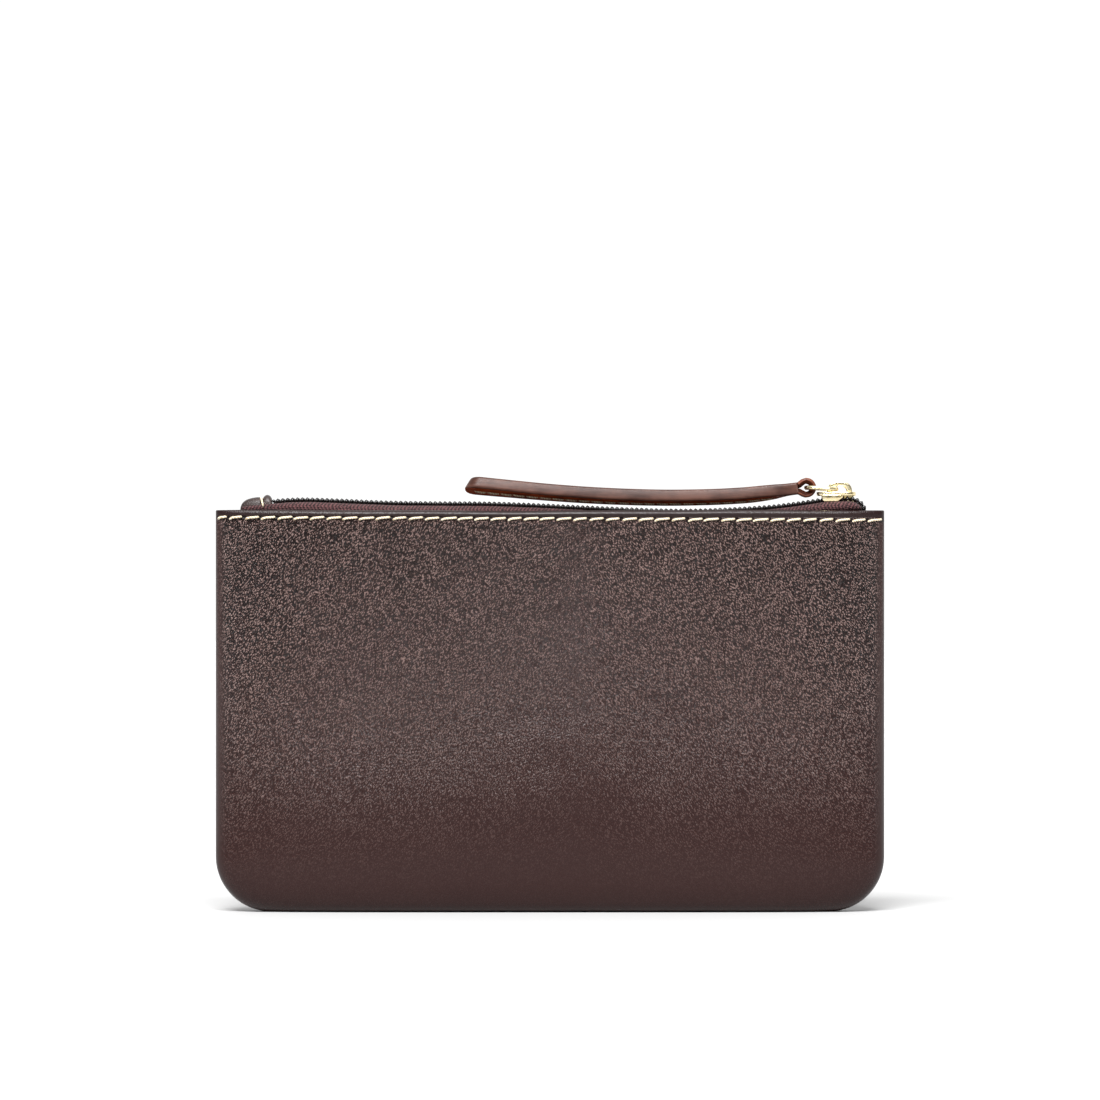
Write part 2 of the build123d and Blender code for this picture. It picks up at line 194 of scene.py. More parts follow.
def tube(line, radius, sides):
    """Points and faces of a tube along a line; radius may change along it."""
    line = np.asarray(line, float)
    count = len(line)
    radius = np.broadcast_to(np.asarray(radius, float), (count,))
    tangent = np.gradient(line, axis=0)
    tangent /= np.linalg.norm(tangent, axis=1)[:, None]
    up = np.array([0.0, 0.0, 1.0]) if abs(tangent[0][2]) < 0.9 else np.array([0.0, 1.0, 0.0])
    points = []
    normal = np.cross(np.cross(tangent[0], up), tangent[0])
    for k in range(count):
        normal = normal - tangent[k] * (normal @ tangent[k])
        normal /= np.linalg.norm(normal)
        side = np.cross(tangent[k], normal)
        for s in range(sides):
            angle = 2 * math.pi * s / sides
            points.append(line[k] + (normal * math.cos(angle) + side * math.sin(angle)) * radius[k])
    faces = grid_faces(count, sides, closed=True)
    faces.append(tuple(reversed(range(sides))))
    faces.append(tuple((count - 1) * sides + s for s in range(sides)))
    return points, faces


def merge(parts):
    """Several (points, faces) as one."""
    points, faces = [], []
    for some_points, some_faces in parts:
        start = len(points)
        points += [tuple(p) for p in some_points]
        faces += [tuple(start + i for i in f) for f in some_faces]
    return points, faces


# ---------------------------------------------------------------- materials


class Shading:
    """Builds one node material around a Principled shader."""

    def __init__(self, name):
        self.material = bpy.data.materials.new(name)
        self.material.use_nodes = True
        self.nodes = self.material.node_tree.nodes
        self.links = self.material.node_tree.links
        self.shader = self.nodes["Principled BSDF"]

    def put(self, socket, value):
        if isinstance(value, bpy.types.NodeSocket):
            self.links.new(value, socket)
        elif value is not None:
            socket.default_value = value

    def node(self, kind, inputs=None, **settings):
        made = self.nodes.new(kind)
        for key, value in settings.items():
            setattr(made, key, value)
        for key, value in (inputs or {}).items():
            self.put(made.inputs[key], value)
        return made

    def place(self):
        return self.node("ShaderNodeTexCoord").outputs["Object"]

    def math(self, operation, a, b=None):
        return self.node("ShaderNodeMath", {0: a, 1: b}, operation=operation).outputs[0]

    def add(self, a, b):
        return self.math("ADD", a, b)

    def times(self, a, b):
        return self.math("MULTIPLY", a, b)

    def vector(self, operation, a, b=None, scale=None):
        inputs = {0: a, 1: b}
        if scale is not None:
            inputs = {0: a, "Scale": scale}
        return self.node("ShaderNodeVectorMath", inputs, operation=operation).outputs[0]

    def parts(self, vector):
        return self.node("ShaderNodeSeparateXYZ", {0: vector}).outputs

    def join(self, x, y, z):
        return self.node("ShaderNodeCombineXYZ", {0: x, 1: y, 2: z}).outputs[0]

    def noise(self, vector, scale, detail=3.0, rough=0.55, output=0):
        inputs = {"Vector": vector, "Scale": scale, "Detail": detail, "Roughness": rough}
        return self.node("ShaderNodeTexNoise", inputs).outputs[output]

    def voronoi(self, vector, scale, feature, smoothness=None):
        inputs = {"Vector": vector, "Scale": scale, "Randomness": 1.0}
        made = self.node("ShaderNodeTexVoronoi", None, feature=feature)
        if smoothness is not None:
            inputs["Smoothness"] = smoothness
        for key, value in inputs.items():
            self.put(made.inputs[key], value)
        return made.outputs[0]

    def wave(self, vector, scale, distortion, detail):
        inputs = {"Vector": vector, "Scale": scale, "Distortion": distortion, "Detail": detail}
        return self.node("ShaderNodeTexWave", inputs, bands_direction="DIAGONAL").outputs["Fac"]

    def ramp(self, value, low, high, to_low=0.0, to_high=1.0, smooth=True):
        kind = "SMOOTHSTEP" if smooth else "LINEAR"
        inputs = {"Value": value, "From Min": low, "From Max": high, "To Min": to_low, "To Max": to_high}
        return self.node("ShaderNodeMapRange", inputs, interpolation_type=kind).outputs[0]

    def mix(self, share, a, b):
        made = self.node("ShaderNodeMix", None, data_type="RGBA")
        self.put(made.inputs[0], share)
        self.put(made.inputs[6], a)
        self.put(made.inputs[7], b)
        return made.outputs[2]

    def bump(self, height, strength, distance_mm):
        inputs = {"Height": height, "Strength": strength, "Distance": distance_mm * MM}
        return self.node("ShaderNodeBump", inputs).outputs[0]

    def surface(self, **inputs):
        for key, value in inputs.items():
            self.put(self.shader.inputs[key.replace("_", " ")], value)
        return self.material


def colour(red, green, blue):
    """A linear colour from the usual 0 to 255 values."""
    linear = []
    for value in (red, green, blue):
        share = value / 255
        linear.append(share / 12.92 if share <= 0.04045 else ((share + 0.055) / 1.055) ** 2.4)
    return (*linear, 1.0)


def streaked_grain(s, place, mirror):
    """Pebbles drawn out on the slant, up to the right, or up to the left when mirrored."""
    x, y, z = s.parts(place)
    if mirror:
        x = s.times(x, -1.0)
    run, climb = math.cos(GRAIN_SLANT), math.sin(GRAIN_SLANT)
    along = s.add(s.times(x, run * GRAIN_STRETCH), s.times(z, climb * GRAIN_STRETCH))
    across = s.math("SUBTRACT", s.times(z, run), s.times(x, climb))
    slanted = s.join(along, across, s.times(y, 0.5))
    pebbles = s.voronoi(slanted, PEBBLE_SCALE, "SMOOTH_F1", smoothness=0.25)
    fine = s.noise(slanted, FINE_SCALE, 2.0, 0.55)
    creases = s.ramp(s.voronoi(slanted, CREASE_SCALE, "DISTANCE_TO_EDGE"), 0.0, 0.10)
    ridge = s.ramp(pebbles, 0.05, 0.75, 1.0, 0.0)
    grain = s.add(s.times(ridge, 0.62), s.times(fine, 1.00))
    return s.add(grain, s.times(creases, 0.08))


def stitch_holes(s, x, z):
    """Small dents where the hem stitches go in, as a share from 0 to 1; the leather colour is painted darker
    in them as shade.
    """
    first_end = (STITCH_LENGTH / 2 + STITCH_SHIFT) * MM
    turns = s.times(s.math("SUBTRACT", x, first_end + 0.45 * MM), 1 / (STITCH_PITCH * MM))
    near = s.math("ABSOLUTE", s.math("SUBTRACT", s.math("FRACT", s.add(turns, 0.5)), 0.5))
    line = s.math("SUBTRACT", STITCH_LINE_Z * MM, s.times(x, STITCH_LINE_FALL))
    away = s.math("ABSOLUTE", s.math("SUBTRACT", z, line))
    return s.times(s.ramp(near, 0.06, 0.17, 1.0, 0.0), s.ramp(away, 0.0002, 0.0006, 1.0, 0.0))


def pebbled_leather():
    """Dark brown full grain: pebbles drawn out on two slants, calmer low down, at the sides and on the hem.

    The grain is relief, and it lightens and darkens the colour too, so part of its light is painted."""
    s = Shading("pebbled_leather")
    place = s.place()
    stray = s.vector("SUBTRACT", s.noise(place, 240, 2.0, output=1), (0.5, 0.5, 0.5))
    warped = s.vector("ADD", place, s.vector("SCALE", stray, scale=0.0005))
    x, y, z = s.parts(place)
    sway = s.noise(place, 45, 2.0, 0.5)
    turn = s.ramp(s.add(x, s.times(sway, 0.016)), 0.004, 0.026)
    slants = {0: turn, 2: streaked_grain(s, warped, False), 3: streaked_grain(s, warped, True)}
    grain = s.node("ShaderNodeMix", slants).outputs[0]
    rise = s.math("POWER", s.ramp(z, 0.006, 0.098, 0.06, 1.0, smooth=False), 1.3)
    to_sides = s.ramp(s.math("ABSOLUTE", x), 0.010, 0.075, 0.66, 1.10, smooth=False)
    calm_sides = s.ramp(s.math("ABSOLUTE", x), 0.0820, 0.0841, 1.0, 0.12)
    calm_sides = s.times(calm_sides, s.ramp(z, 0.0996, 0.1002, 1.0, 0.08))
    patches = s.noise(place, 60, 3.0, 0.6)
    relief = s.times(s.times(rise, to_sides), calm_sides)
    relief = s.times(relief, s.ramp(patches, 0.25, 0.75, 0.80, 1.15, smooth=False))
    pores = s.noise(place, 4200, 2.0, 0.6)
    hole_dents_and_shade = stitch_holes(s, x, z)
    height = s.add(s.times(grain, relief), s.times(pores, 0.010))
    height = s.math("SUBTRACT", height, s.times(hole_dents_and_shade, 0.9))
    normal = s.bump(height, 1.0, GRAIN_RELIEF)
    lit = s.times(s.ramp(grain, 0.56, 1.08, -1.0, 1.0, smooth=False), relief)
    # Painted shade: the leather's colour darkens towards the bottom, where the panel turns to face down
    low = s.ramp(z, 0.012, 0.060, 0.75, 0.0)
    shade = s.mix(s.ramp(patches, 0.3, 0.7), colour(40, 21, 19), colour(44, 25, 22))
    shade = s.mix(low, shade, colour(33, 11, 9))
    middle = s.ramp(s.math("ABSOLUTE", x), 0.010, 0.062, 0.55, 0.0)
    shade = s.mix(s.times(middle, rise), shade, colour(27, 11, 10))
    shade = s.mix(s.ramp(lit, 0.0, 0.7, 0.0, 1.0, smooth=False), shade, colour(134, 112, 107))
    shade = s.mix(s.ramp(lit, 0.0, -0.7, 0.0, 1.0, smooth=False), shade, colour(10, 3, 3))
    shade = s.mix(s.ramp(z, 0.0996, 0.1004, 0.0, 0.85), shade, colour(23, 10, 10))
    # Painted shade in the stitch holes
    shade = s.mix(s.times(hole_dents_and_shade, 0.85), shade, colour(8, 4, 4))
    rough = s.add(s.ramp(pores, 0.3, 0.7, 0.20, 0.27), s.times(patches, 0.06))
    rough = s.add(rough, s.ramp(calm_sides, 0.1, 1.0, 0.12, 0.0, smooth=False))
    return s.surface(Base_Color=shade, Roughness=rough, Normal=normal, Specular_IOR_Level=0.27)


def smooth_leather(name, base, dark, roughness, grain_scale=1500, strength=0.35, crackle=1.0, shine=0.4):
    """Fine smooth leather with faint grain and soft colour changes."""
    s = Shading(name)
    place = s.place()
    patches = s.noise(place, 140, 4.0, 0.6)
    cells = s.voronoi(place, grain_scale, "DISTANCE_TO_EDGE")
    valleys = s.ramp(cells, 0.0, 0.12)
    pores = s.noise(place, grain_scale * 2.6, 3.0, 0.6)
    streaks = s.noise(s.vector("MULTIPLY", place, (0.12, 1.0, 1.0)), 1400, 3.0, 0.6)
    tone = s.mix(s.ramp(s.add(s.times(patches, 0.6), s.times(streaks, 0.4)), 0.35, 0.68), dark, base)
    tone = s.mix(s.times(s.math("SUBTRACT", 1.0, valleys), 0.5 * crackle), tone, dark)
    grain = s.add(s.times(valleys, 0.6 * crackle), s.times(pores, 0.35))
    grain = s.add(grain, s.times(streaks, 0.5))
    rough = s.ramp(pores, 0.3, 0.7, roughness - 0.06, roughness + 0.08)
    normal = s.bump(grain, strength, 0.10)
    return s.surface(Base_Color=tone, Roughness=rough, Normal=normal, Specular_IOR_Level=shine)


def suede_back(name, base, dark):
    """The raw flesh side of leather: short matted fibre."""
    s = Shading(name)
    place = s.place()
    fibre = s.noise(s.vector("MULTIPLY", place, (0.5, 1.0, 1.0)), 2600, 5.0, 0.75)
    patches = s.noise(place, 220, 3.0, 0.6)
    share = s.ramp(s.add(s.times(fibre, 0.55), s.times(patches, 0.45)), 0.35, 0.65)
    return s.surface(
        Base_Color=s.mix(share, dark, base), Roughness=s.ramp(fibre, 0.3, 0.7, 0.60, 0.80),
        Normal=s.bump(fibre, 0.5, 0.12), Specular_IOR_Level=0.08,
    )


def thread_material(name, base, dark):
    """Waxed thread: fine twisted fibres."""
    s = Shading(name)
    place = s.place()
    fibre = s.noise(place, 4200, 4.0, 0.7)
    twist = s.wave(place, 900, 2.0, 1.0)
    share = s.ramp(s.add(s.times(fibre, 0.6), s.times(twist, 0.4)), 0.25, 0.75)
    return s.surface(
        Base_Color=s.mix(share, dark, base), Roughness=s.ramp(fibre, 0.3, 0.7, 0.45, 0.65),
        Normal=s.bump(s.add(fibre, twist), 0.35, 0.06), Sheen_Weight=0.2, Specular_IOR_Level=0.4,
    )


def woven(name, warp_colour, weft_colour, gap_shade_colour, thread_mm, slant=0.5):
    """A herringbone weave laid out in the piece's own flat millimetres."""
    s = Shading(name)
    flat = s.node("ShaderNodeAttribute", None, attribute_name="flat_mm").outputs["Vector"]
    u, v, _ = s.parts(flat)
    turn = s.times(s.math("PINGPONG", v, 1.6), slant)
    ribs = s.add(u, turn)
    wobble = s.times(s.noise(s.vector("SCALE", flat, scale=MM * 900), 1.0, 2.0), 0.25)
    across = s.math("SINE", s.times(s.add(ribs, wobble), 2 * math.pi / (2 * thread_mm)))
    down = s.math("SINE", s.times(s.add(v, wobble), 2 * math.pi / thread_mm))
    cloth = s.add(s.times(across, 0.5), s.times(down, 0.28))
    fuzz = s.noise(s.place(), 2600, 3.0, 0.75)
    speckle = s.add(s.times(across, 0.45), s.times(s.math("SUBTRACT", fuzz, 0.5), 6.0))
    tone = s.mix(s.ramp(speckle, -0.9, 0.9), weft_colour, warp_colour)
    # Painted shade: the low gaps between the threads take a much darker colour
    tone = s.mix(s.ramp(cloth, -0.75, -0.15, 0.85, 0.0), tone, gap_shade_colour)
    height = s.add(cloth, s.times(fuzz, 0.5))
    return s.surface(
        Base_Color=tone, Roughness=s.ramp(fuzz, 0.3, 0.7, 0.66, 0.86), Normal=s.bump(height, 0.9, 0.22),
        Sheen_Weight=0.05, Sheen_Roughness=0.5, Specular_IOR_Level=0.2,
    )


def nylon():
    """Glossy black monofilament with a faint drawn-out grain."""
    s = Shading("black_nylon")
    place = s.place()
    fine = s.noise(place, 3000, 2.0, 0.6)
    tone = s.mix(s.ramp(fine, 0.35, 0.7), (0.0015, 0.0010, 0.0010, 1), (0.006, 0.004, 0.004, 1))
    rough = s.ramp(fine, 0.3, 0.7, 0.16, 0.24)
    normal = s.bump(fine, 0.08, 0.05)
    return s.surface(Base_Color=tone, Roughness=rough, Normal=normal, Specular_IOR_Level=0.8)


def gold():
    """Pale gold plating, polished, with light handling marks."""
    s = Shading("pale_gold")
    place = s.place()
    marks = s.noise(s.vector("MULTIPLY", place, (0.35, 1.0, 1.0)), 2600, 4.0, 0.65)
    cloud = s.noise(place, 420, 3.0, 0.6)
    tone = s.mix(s.ramp(cloud, 0.35, 0.7), (0.80, 0.66, 0.36, 1), (0.94, 0.84, 0.56, 1))
    rough = s.add(s.ramp(marks, 0.35, 0.75, 0.14, 0.30), s.times(cloud, 0.08))
    height = s.add(marks, s.times(cloud, 0.8))
    return s.surface(Base_Color=tone, Metallic=1.0, Roughness=rough, Normal=s.bump(height, 0.12, 0.06))


def paper_floor():
    """A plain light grey studio floor, which the key light renders white."""
    s = Shading("studio_floor")
    mottle = s.noise(s.place(), 9, 2.0, 0.5)
    tone = s.mix(mottle, (0.43, 0.43, 0.43, 1), (0.45, 0.45, 0.45, 1))
    return s.surface(Base_Color=tone, Roughness=0.75, Specular_IOR_Level=0.2)


MATERIALS = {
    "leather": pebbled_leather(),
    "tab": smooth_leather("tab_leather", colour(52, 36, 32), colour(30, 19, 17), 0.40, 1500, 0.5),
    "edge": smooth_leather(
        "burnished_edge", colour(80, 52, 43), colour(46, 23, 16), 0.42, 1700, 0.3, crackle=0.0, shine=0.20
    ),
    "strap_top": smooth_leather("strap_leather", colour(60, 28, 19), colour(38, 17, 11), 0.34, 1300, 0.4),
    "strap_under": suede_back("strap_underside", colour(150, 60, 16), colour(84, 26, 6)),
    "loop_rim": smooth_leather(
        "loop_rim", colour(118, 66, 44), colour(60, 25, 14), 0.42, 1500, 0.4, crackle=0.3, shine=0.25
    ),
    # The flesh side inside the loop is a darker copy of the underside's flesh side: painted shade in the eye
    # round the ring
    "loop_inside_shade": suede_back("loop_inside_shade", colour(62, 24, 9), colour(28, 9, 4)),
    "cream": thread_material("cream_thread", colour(226, 216, 194), colour(172, 150, 114)),
    "beige": thread_material("beige_thread", colour(176, 156, 128), colour(112, 88, 64)),
    "brown_thread": thread_material("brown_thread", colour(44, 30, 26), colour(22, 14, 12)),
    "tape": woven("zip_tape_weave", colour(92, 60, 61), colour(22, 7, 9), colour(5, 1, 2), thread_mm=0.46),
    "lining": woven(
        "lining_weave", colour(112, 90, 70), colour(90, 70, 54), colour(50, 38, 28), thread_mm=0.5, slant=0.0
    ),
    "nylon": nylon(),
    "cord": thread_material("black_cord", colour(24, 19, 19), colour(8, 6, 6)),
    "gold": gold(),
}


# ---------------------------------------------------------------- pouch shell


def plan_share(sigma):
    """How full the pouch is at a share of its half width: 1 in the middle, 0 at the side seams."""
    return np.sqrt(np.clip(1 - np.abs(sigma) ** PLAN_POWER, 0, 1))


def outline_half_width(z):
    """Half width of the pouch's outline at a height, with its rounded bottom corners."""
    low = np.clip(CORNER_RADIUS - z, 0, CORNER_RADIUS)
    return HALF_WIDTH - CORNER_RADIUS + np.sqrt(CORNER_RADIUS**2 - low**2)


def column_shares(count):
    """Shares of the half width, spaced evenly along the curved plan."""
    sigma = np.sin(np.linspace(-math.pi / 2, math.pi / 2, 3000))
    line = np.stack([sigma * HALF_WIDTH, plan_share(sigma) * (11 - SEAM_DEPTH)], axis=1)
    return resample(line, count)[:, 0] / HALF_WIDTH


def section_rows():
    """The panel's section from the bottom seam, up the face and over the hem, and the depth of its seam."""
    body = curve_through(SECTION, 1200)
    turn = np.linspace(0, math.pi, 40)[1:]
    over = np.stack([
        HEM_TOP_DEPTH - HEM_RADIUS + HEM_RADIUS * np.cos(turn),
        TOP_Z - HEM_RADIUS + HEM_RADIUS * np.sin(turn),
    ], axis=1)
    inside = [(HEM_TOP_DEPTH - 2 * HEM_RADIUS + 0.25, HEM_BOTTOM_Z)]
    line = np.vstack([body, over, inside])

    def crowding(p):
        """Rows stand closer together at the hem and at the bottom."""
        return 1 + 2.2 * smooth_step(96.5, 98.5, p[:, 1]) + 0.8 * smooth_step(9, 2, p[:, 1])

    rows = resample(line, PANEL_ROWS, crowding)
    past = np.argmax(rows[:, 1])
    inner = np.arange(len(rows)) / len(rows) > past / len(rows)
    seam = np.where(inner, 0.35, SEAM_DEPTH)
    return rows, seam, int(past)


def wrinkles(x, z):
    """Height of the leather's soft folds, in millimetres, on the outside of a panel."""
    heights = np.zeros(x.shape)
    flat_x, flat_z, out = x.ravel(), z.ravel(), heights.ravel()
    for k in range(len(out)):
        px, pz = flat_x[k], flat_z[k]
        reach = math.hypot(px, pz + 20)
        around = math.atan2(px, pz + 20)
        sag = noise.noise(Vector((px / 46, pz / 34, 3.1)))
        fold = noise.noise(Vector((reach / 7.0, around * 3.2, 8.4)))
        crease = noise.noise(Vector((reach / 3.0, around * 6.0, 1.7)))
        out[k] = 0.34 * sag + 0.16 * fold - 0.10 * max(0.0, crease)
    calm = 0.25 + 0.75 * smooth_step(10, 55, z)
    edge = smooth_step(0, 9, HALF_WIDTH - np.abs(x)) * smooth_step(1, 9, z) * smooth_step(101.5, 93, z)
    return heights * calm * edge


def hem_pull(z):
    """How far the topstitch pulls the leather in, in millimetres."""
    line = np.exp(-(((z - 99.75) / 0.75) ** 2))
    puff = np.exp(-(((z - 101.2) / 0.8) ** 2))
    return 0.34 * line - 0.05 * puff


def panel(side, name, node):
    """One leather panel: side is -1 for the front and 1 for the back."""
    shares = column_shares(PANEL_COLUMNS)
    rows, seam, top_row = section_rows()
    depth, z = rows[:, 0][:, None], rows[:, 1][:, None]
    fullness = plan_share(shares)[None, :]
    over = smooth_step(0, 1, (np.arange(len(rows)) - top_row + 4) / 14)[:, None]
    x = shares[None, :] * (outline_half_width(z) - (2 * LEATHER + 0.15) * over)
    y = seam[:, None] + (depth - seam[:, None]) * fullness
    zz = np.broadcast_to(z, x.shape).copy()
    outside = (np.arange(len(rows)) <= top_row)[:, None]
    shift = 0.0 if side < 0 else 300.0
    y = y + np.where(outside, wrinkles(x + shift, zz) - hem_pull(zz) * fullness, 0.0)
    zz = zz + np.where(zz > 100.9, 0.10 * np.sin(x / 19.0 + side) + 0.05 * np.sin(x / 6.5), 0.0)
    points = np.stack([x, side * y, zz], axis=2).reshape(-1, 3)
    columns = len(shares)
    faces = grid_faces(len(rows), columns)
    loop = [r * columns for r in range(top_row, -1, -1)]
    loop += list(range(1, columns - 1))
    loop += [r * columns + columns - 1 for r in range(0, top_row + 1)]
    points, faces = turn_in(points, faces, loop, side)
    if side > 0:
        faces = flip_object_faces(faces)
    obj = make_object(name, points, faces, MATERIALS["leather"], "pouch", [node])
    obj = thicken(obj, LEATHER)
    return obj


def turn_in(points, faces, loop, side):
    """Carries the panel's edge round into the seam and on as its allowance inside."""
    edge = points[loop]
    centre_x = HALF_WIDTH - CORNER_RADIUS
    low = edge[:, 2] < CORNER_RADIUS
    sign = np.sign(edge[:, 0])
    out_x = np.where(low, np.clip(np.abs(edge[:, 0]) - centre_x, 0, None) * sign, sign)
    out_z = np.where(low, edge[:, 2] - CORNER_RADIUS, 0.0)
    size = np.hypot(out_x, out_z)
    outward = np.stack([out_x / size, np.zeros(len(edge)), out_z / size], axis=1)
    quarter = np.linspace(0, math.pi / 2, 6)[1:]
    steps = [(SEAM_RADIUS * (1 - math.cos(a)), SEAM_RADIUS * (1 - math.sin(a))) for a in quarter]
    steps += [(3.2, 0.0), (5.0, 0.0)]
    points, faces = list(points), list(faces)
    ring = list(loop)
    for inward, away in steps:
        start = len(points)
        for k in range(len(loop)):
            p = edge[k] - outward[k] * inward
            p[1] = side * (SEAM_GAP + away)
            points.append(p)
        new = list(range(start, start + len(loop)))
        for k in range(len(loop) - 1):
            faces.append((ring[k + 1], ring[k], new[k], new[k + 1]))
        ring = new
    return np.array(points), faces


def hem_point(x, z):
    """A point on the front hem's outside, and the directions along the hem and outwards."""

    def depth(at):
        share = plan_share(np.clip(at / HALF_WIDTH, -1, 1))
        return SEAM_DEPTH + (8.36 - SEAM_DEPTH) * float(share) - 0.30 * float(share)

    step = 0.15
    along = Vector((2 * step, -(depth(x + step) - depth(x - step)), 0)).normalized()
    out = Vector((along.y, -along.x, 0))
    return Vector((x, -depth(x), z)), along, out


def stitch_line(points, radius):
    """A twisted thread along points: its surface swells in three strands."""
    twist, sides = 2.2, 10
    line = curve_through(points, 22)
    made, faces = tube(line, radius, sides)
    made = np.array(made).reshape(len(line), sides, 3)
    for k in range(len(line)):
        for s in range(sides):
            swell = 1 + 0.06 * math.cos(3 * (2 * math.pi * s / sides) - twist * k)
            made[k, s] = line[k] + (made[k, s] - line[k]) * swell
    return made.reshape(-1, 3), faces


def hem_stitches(side, name, node):
    """The cream stitches of one hem, each slanting up to the right and diving into its holes."""
    parts = []
    rng = np.random.default_rng(7 if side < 0 else 8)
    for k in range(STITCH_COUNT):
        x = (k - (STITCH_COUNT - 1) / 2) * STITCH_PITCH + STITCH_SHIFT + rng.uniform(-0.08, 0.08)
        z = STITCH_LINE_Z - STITCH_LINE_FALL * x + rng.uniform(-0.05, 0.05)
        half = STITCH_LENGTH / 2 + rng.uniform(-0.16, 0.16)
        first, last = max(x - half, 0.6 - HALF_WIDTH), min(x + half, HALF_WIDTH - 0.6)
        x, half = (first + last) / 2, (last - first) / 2
        if half < 0.6:
            continue
        base, along, out = hem_point(x, z)
        up = Vector((0, 0, 1))
        lean = rng.uniform(0.85, 1.15)
        shape = [
            (-half - 0.05, -0.44, -0.75), (-half + 0.02, -0.34, -0.05), (-half + 0.35, -0.17, 0.24),
            (-half * 0.4, 0.0, 0.32), (half * 0.45, 0.11, 0.30), (half - 0.3, 0.17, 0.22),
            (half, 0.19, -0.06), (half + 0.05, 0.20, -0.75),
        ]
        shape = [(a, b * lean, c) for a, b, c in shape]
        line = []
        for a, b, c in shape:
            p = base + along * a + up * b + out * c
            line.append((p.x, p.y if side < 0 else -p.y, p.z))
        parts.append(stitch_line(line, STITCH_RADIUS))
    points, faces = merge(parts)
    if side > 0:
        faces = flip_object_faces(faces)
    return make_object(name, points, faces, MATERIALS["cream"], "pouch", [node])


def seam_stitches():
    """The hidden lock stitches that join the two panels' turned-in edges."""
    parts = []
    inset = 4.0
    radius = CORNER_RADIUS - inset
    side_x, corner_x = HALF_WIDTH - inset, HALF_WIDTH - CORNER_RADIUS
    line = [(-side_x, 86.0), (-side_x, CORNER_RADIUS)]
    bend = np.linspace(0.2, 1.4, 6)
    line += [(-corner_x - radius * math.cos(a), CORNER_RADIUS - radius * math.sin(a)) for a in bend]
    line += [(-corner_x, inset)]
    line += [(-x, z) for x, z in reversed(line)]
    spots = resample(np.array(line), 108)
    for a, b in zip(spots[:-1], spots[1:]):
        for side in (-1, 1):
            low_x, low_z = a + (b - a) * 0.12
            high_x, high_z = a + (b - a) * 0.88
            y_in, y_out = side * 0.7, side * (SEAM_GAP + LEATHER + 0.22)
            bight = [
                (low_x, y_in, low_z), (low_x, y_out, low_z), (high_x, y_out, high_z), (high_x, y_in, high_z),
            ]
            parts.append(tube(bight, 0.17, 6))
    points, faces = merge(parts)
    return make_object(
        "panel_seam_thread", points, faces, MATERIALS["brown_thread"],
        "pouch", ["panel_seam_stitching"],
    )


LINING = 0.3
LINING_HALF_WIDTH = 77.0
LINING_BOTTOM = 7.6
LINING_SECTION = [
    (0.9, 7.6), (3.2, 7.7), (5.6, 8.6), (8.0, 13.0), (9.5, 24.0), (9.9, 42.0), (9.1, 64.0),
    (7.2, 82.0), (5.4, 91.0), (5.05, 96.0), (5.0, 100.2),
]


def lining(side, name, node):
    """Half of the lining bag, sewn in under the hem."""
    columns = 120
    shares = column_shares(columns)
    rows = curve_through(LINING_SECTION, 84)
    depth, z = rows[:, 0][:, None], rows[:, 1][:, None]
    low = np.clip(CORNER_RADIUS - (z - LINING_BOTTOM), 0, CORNER_RADIUS)
    half = LINING_HALF_WIDTH - CORNER_RADIUS + np.sqrt(CORNER_RADIUS**2 - low**2)
    x = shares[None, :] * half
    y = 0.35 + (depth - 0.35) * plan_share(shares)[None, :]
    zz = np.broadcast_to(z, x.shape)
    loose = smooth_step(0, 12, LINING_HALF_WIDTH - np.abs(x)) * smooth_step(98, 86, zz)
    y = y + 0.16 * np.sin(x / 5.1 + zz / 13.0) * loose
    points = np.stack([x, side * y, zz], axis=2).reshape(-1, 3)
    faces = grid_faces(len(rows), columns)
    if side > 0:
        faces = flip_object_faces(faces)
    obj = make_object(name, points, faces, MATERIALS["lining"], "pouch", [node])
    set_flat(obj, np.stack([x, np.broadcast_to(z, x.shape), x * 0], axis=2).reshape(-1, 3))
    thicken(obj, LINING)
    return obj


def set_flat(obj, values):
    """Keeps each point's place on the flat cloth, in millimetres, for its weave."""
    attribute = obj.data.attributes.new("flat_mm", "FLOAT_VECTOR", "POINT")
    attribute.data.foreach_set("vector", np.asarray(values, np.float32).ravel())


# ---------------------------------------------------------------- zip


def chain_line(count):
    """Points along the middle of the chain with how far along it each one is."""
    line = curve_through(CHAIN, count)
    along = np.concatenate([[0], np.cumsum(np.linalg.norm(np.diff(line, axis=0), axis=1))])
    return line, along


def chain_frame(at):
    """Place, direction and upward normal of the chain at a distance along it."""
    line, along = CHAIN_LINE
    x, z = np.interp(at, along, line[:, 0]), np.interp(at, along, line[:, 1])
    ahead = np.interp(at + 0.2, along, line[:, 0]), np.interp(at + 0.2, along, line[:, 1])
    behind = np.interp(at - 0.2, along, line[:, 0]), np.interp(at - 0.2, along, line[:, 1])
    tangent = np.array([ahead[0] - behind[0], 0.0, ahead[1] - behind[1]])
    tangent /= np.linalg.norm(tangent)
    return np.array([x, 0.0, z]), tangent, np.array([-tangent[2], 0.0, tangent[0]])


def squeeze(x):
    """How far the tapes are drawn in by the narrowing pouch, as a share of their depth."""
    inside = 0.35 + (HEM_TOP_DEPTH - 2 * HEM_RADIUS - 0.35) * float(plan_share(x / (HALF_WIDTH - 2.4)))
    return min(1.0, (inside - 0.25) / 5.5)


CHAIN_LINE = chain_line(900)
CHAIN_LENGTH = CHAIN_LINE[1][-1]


def opening(x):
    """How far each coil has moved off the middle: none where the zip is shut, more past the slider's tail."""
    return 1.0 * float(smooth_step(70.5, 78.5, x))


